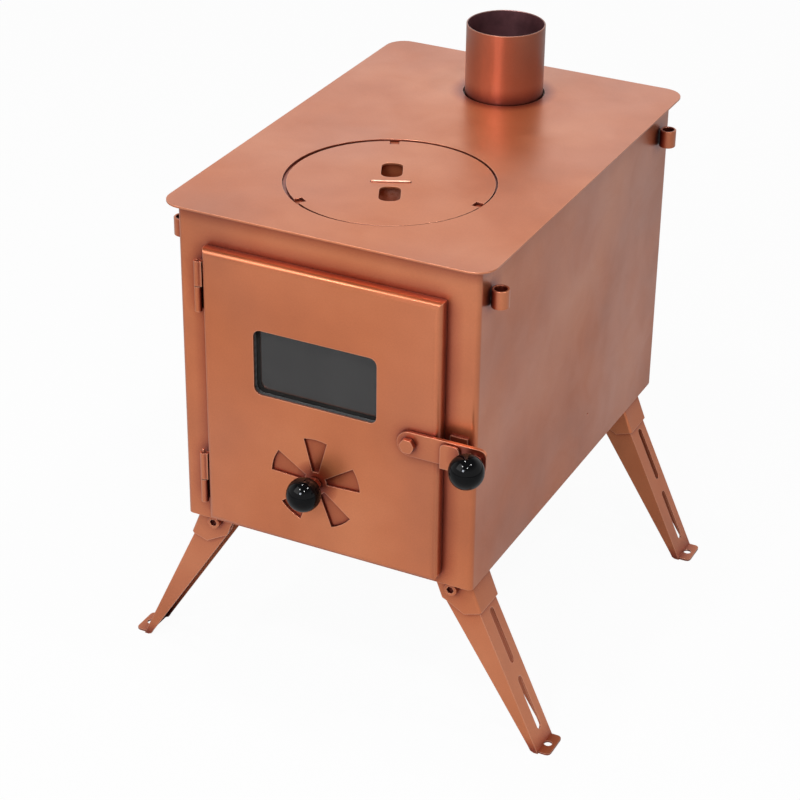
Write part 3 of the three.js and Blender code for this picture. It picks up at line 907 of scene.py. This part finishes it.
class STOVE_OT_round_hardware(bpy.types.Operator):
    """Finishes the leg bolts, studs, hinge knuckles and pins"""

    bl_idname = "stove.round_hardware"
    bl_label = "Bolts, Studs and Hinges"

    def execute(self, context):
        names = [n for n in frame["nodes"] if n.startswith(("leg_bolt", "hinge_"))]
        for node in sorted(names) + ["vent_stem", "latch_stud"]:
            bm = merged_copy(node)
            break_edges(bm, 0.15 * MM)
            add_piece(bm, node, "turned")
        return {"FINISHED"}


class STOVE_OT_window_and_seal(bpy.types.Operator):
    """Finishes the window's glass and gasket and the door's rope seal"""

    bl_idname = "stove.window_and_seal"
    bl_label = "Window and Seal"

    def execute(self, context):
        for node, finish, width in (("window_glass", "pane", 0.4), ("glass_gasket", "tape", 0.5)):
            bm = merged_copy(node)
            break_edges(bm, width * MM)
            add_piece(bm, node, finish)
        add_piece(rope_seal(), "door_seal", "rope", smooth=math.pi)
        return {"FINISHED"}


def rope_seal():
    """The rope seal: a round section swept round the door's edge, a strand's width at a time."""
    low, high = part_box("door_seal")
    radius, middle_y = (high.y - low.y) / 2, (low.y + high.y) / 2
    corner, strand, sides, quarter = 9 * MM, 1.6 * MM, 14, math.tau / 4
    x0, x1 = low.x + radius + corner, high.x - radius - corner
    z0, z1 = low.z + radius + corner, high.z - radius - corner
    bm = bmesh.new()
    ring = bmesh.ops.create_circle(bm, segments=sides, radius=radius)["verts"]
    start = Matrix.Translation((x1, middle_y, z0 - corner)) @ Matrix.Rotation(quarter, 4, "Y")
    bmesh.ops.transform(bm, matrix=start, verts=ring)
    edges = list(bm.edges)
    # Each corner's centre, and the straight run that follows it.
    for x, z, run_x, run_z in (
        (x1, z0, 0, z1 - z0),
        (x1, z1, x0 - x1, 0),
        (x0, z1, 0, z0 - z1),
        (x0, z0, x1 - x0, 0),
    ):
        end = bmesh.ops.spin(
            bm,
            geom=edges,
            cent=(x, middle_y, z),
            axis=(0, -1, 0),
            angle=quarter,
            steps=round(quarter * corner / strand),
        )["geom_last"]
        edges = [e for e in end if isinstance(e, bmesh.types.BMEdge)]
        steps = round(math.hypot(run_x, run_z) / strand)
        for _ in range(steps):
            made = bmesh.ops.extrude_edge_only(bm, edges=edges)["geom"]
            moved = [v for v in made if isinstance(v, bmesh.types.BMVert)]
            bmesh.ops.translate(bm, verts=moved, vec=(run_x / steps, 0, run_z / steps))
            edges = [e for e in made if isinstance(e, bmesh.types.BMEdge) and set(e.verts) <= set(moved)]
    bmesh.ops.remove_doubles(bm, verts=bm.verts, dist=0.01 * MM)
    bmesh.ops.recalc_face_normals(bm, faces=bm.faces)
    return bm


# ---------------------------------------------------------------- the stage

# The camera's place and its turn in degrees, in the stove's own frame.
CAMERA_PLACE = (0.6670, -1.3967, 1.0378)
CAMERA_TURN = (60.960, -0.638, 26.526)

# Every lamp faces the stove's middle. Where the glint of a ceiling lamp or of the window lies on a
# ball knob, as the camera sees it, gives its direction: across and up, in ball radii.
MIDDLE = Vector((0, 0, 0.25))
LAMP_DISTANCE = 3
CEILING_GLINTS = ((-0.06, 0.54), (0.24, 0.36), (-0.20, 0.275), (0.05, 0.18))
CEILING_LAMP_WIDTH = 0.2
WINDOW_GLINT = (-0.17, 0.045)
WINDOW_WIDTH = 0.6

# The wide dim panel that the rounded bend along the top of the door mirrors, from the middle.
PANEL_OFFSET = Vector((-1.17, -1.84, 2.06))
PANEL_WIDTH = 1.9

# How far the floor goes each way.
FLOOR_REACH = 6


def lamp_for_glint(camera, glint):
    """The offset from the stove's middle whose mirror image lies at the glint on a ball."""
    across, up, to_camera = camera.rotation_euler.to_matrix().col
    normal = glint[0] * across + glint[1] * up
    normal += math.sqrt(1 - normal.length_squared) * to_camera
    return LAMP_DISTANCE * (2 * normal.dot(to_camera) * normal - to_camera)


def soft_lamp(name, shape, offset, width, power, colour=WHITE):
    """An area lamp at an offset from the stove's middle, facing it."""
    data = bpy.data.lights.new(name, "AREA")
    data.shape = shape
    data.size = width
    data.energy = power
    data.color = colour[:3]
    lamp = bpy.data.objects.new(name, data)
    lamp.location = MIDDLE + offset
    lamp.rotation_euler = offset.to_track_quat("Z", "Y").to_euler()
    bpy.context.scene.collection.objects.link(lamp)


def seen_or_mirrored(tree, mirrored=1.0):
    """1 for rays from the camera, a share for those off gloss or through glass, 0 for soft light."""
    rays = add(tree, "ShaderNodeLightPath").outputs
    through = add(
        tree, "ShaderNodeMath", in_0=rays["Is Glossy Ray"], in_1=rays["Is Transmission Ray"]
    )
    return add(
        tree,
        "ShaderNodeMath",
        {"operation": "MULTIPLY_ADD", 1: mirrored, "use_clamp": True},
        in_0=through,
        in_2=rays["Is Camera Ray"],
    )


def studio_world(stage):
    """A white backdrop up to head height, under a grey ceiling, and a weaker even soft light."""
    world = bpy.data.worlds.new("white_studio")
    world.use_nodes = True
    tree = world.node_tree
    tree.nodes.clear()
    direction = add(tree, "ShaderNodeTexCoord").outputs["Generated"]
    rise = add(tree, "ShaderNodeSeparateXYZ", Vector=direction).outputs["Z"]
    backdrop = add(
        tree,
        "ShaderNodeValToRGB",
        stops=((0.45, WHITE), (0.75, (*stage.ceiling, 1))),
        in_0=rise,
    )
    seen = add(tree, "ShaderNodeBackground", Color=backdrop)
    soft = add(tree, "ShaderNodeBackground", {"Color": WHITE, "Strength": stage.soft_light})
    mixed = add(tree, "ShaderNodeMixShader", in_0=seen_or_mirrored(tree), in_1=soft, in_2=seen)
    add(tree, "ShaderNodeOutputWorld", Surface=mixed)
    return world


def floor_vinyl():
    """Matt white studio vinyl: white to the eye, but it keeps the stove's soft shadow."""
    material, tree, output, _ = new_material("matt_white_vinyl")
    if not tree:
        return material
    share = add(
        tree, "ShaderNodeMapRange", {"To Max": 0.96}, Value=seen_or_mirrored(tree, mirrored=0.1)
    )
    matt = add(tree, "ShaderNodeBsdfDiffuse", {"Color": linear("#B6B6B6")})
    white = add(tree, "ShaderNodeEmission", {"Color": WHITE})
    mixed = add(tree, "ShaderNodeMixShader", in_0=share, in_1=matt, in_2=white)
    tree.links.new(mixed.outputs[0], output.inputs[0])
    return material


class STOVE_OT_stage(bpy.types.Operator):
    """Sets up the camera, the lamps, the white world and the pale floor"""

    bl_idname = "stove.stage"
    bl_label = "Studio Stage"

    def execute(self, context):
        scene = context.scene
        stage = scene.stove_stage
        lens = bpy.data.cameras.new("camera")
        lens.lens = stage.focal_length
        lens.sensor_width = 36
        lens.clip_start, lens.clip_end = 0.05, 50
        camera = bpy.data.objects.new("camera", lens)
        camera.location = CAMERA_PLACE
        camera.rotation_euler = Euler([math.radians(a) for a in CAMERA_TURN])
        scene.collection.objects.link(camera)
        scene.camera = camera
        scene.view_settings.view_transform = "Standard"

        for number, glint in enumerate(CEILING_GLINTS, 1):
            offset = lamp_for_glint(camera, glint)
            name = f"ceiling_lamp_{number}"
            soft_lamp(name, "DISK", offset, CEILING_LAMP_WIDTH, stage.ceiling_power)
        offset = lamp_for_glint(camera, WINDOW_GLINT)
        daylight = linear("#EEF4FF")
        soft_lamp("window_softbox", "SQUARE", offset, WINDOW_WIDTH, stage.window_power, daylight)
        soft_lamp("overhead_panel", "SQUARE", PANEL_OFFSET, PANEL_WIDTH, stage.panel_power)

        scene.world = studio_world(stage)

        bm = bmesh.new()
        bmesh.ops.create_grid(bm, x_segments=1, y_segments=1, size=FLOOR_REACH)
        mesh = bpy.data.meshes.new("floor")
        bm.to_mesh(mesh)
        bm.free()
        floor = bpy.data.objects.new("floor", mesh)
        scene.collection.objects.link(floor)
        mesh.materials.append(floor_vinyl())
        return {"FINISHED"}


OPERATORS = (
    STOVE_OT_sheet_metal,
    STOVE_OT_flue_and_sockets,
    STOVE_OT_lid_cup,
    STOVE_OT_ball_knobs,
    STOVE_OT_hex_fasteners,
    STOVE_OT_round_hardware,
    STOVE_OT_window_and_seal,
    STOVE_OT_stage,
)


class STOVE_PT_panel(bpy.types.Panel):
    """Lists the sizes, the paint, the stage and a button for each group of pieces"""

    bl_idname = "STOVE_PT_panel"
    bl_label = "Tent Wood Stove"
    bl_space_type = "VIEW_3D"
    bl_region_type = "UI"
    bl_category = "Stove"

    def draw(self, context):
        for group in (context.scene.stove_sizes, context.scene.stove_paint, context.scene.stove_stage):
            box = self.layout.box()
            for name in group.bl_rna.properties.keys():
                if name not in ("rna_type", "name"):
                    box.prop(group, name)
        for operator in OPERATORS:
            self.layout.operator(operator.bl_idname)


GROUPS = {"stove_sizes": StoveSizes, "stove_paint": StovePaint, "stove_stage": StoveStage}
CLASSES = (*GROUPS.values(), *OPERATORS, STOVE_PT_panel)


def register():
    for made in CLASSES:
        bpy.utils.register_class(made)
    for name, group in GROUPS.items():
        setattr(bpy.types.Scene, name, PointerProperty(type=group))


def unregister():
    for name in GROUPS:
        delattr(bpy.types.Scene, name)
    for made in reversed(CLASSES):
        bpy.utils.unregister_class(made)


def main():
    register()
    for operator in OPERATORS:
        group, name = operator.bl_idname.split(".")
        getattr(getattr(bpy.ops, group), name)()


if __name__ == "__main__":
    main()
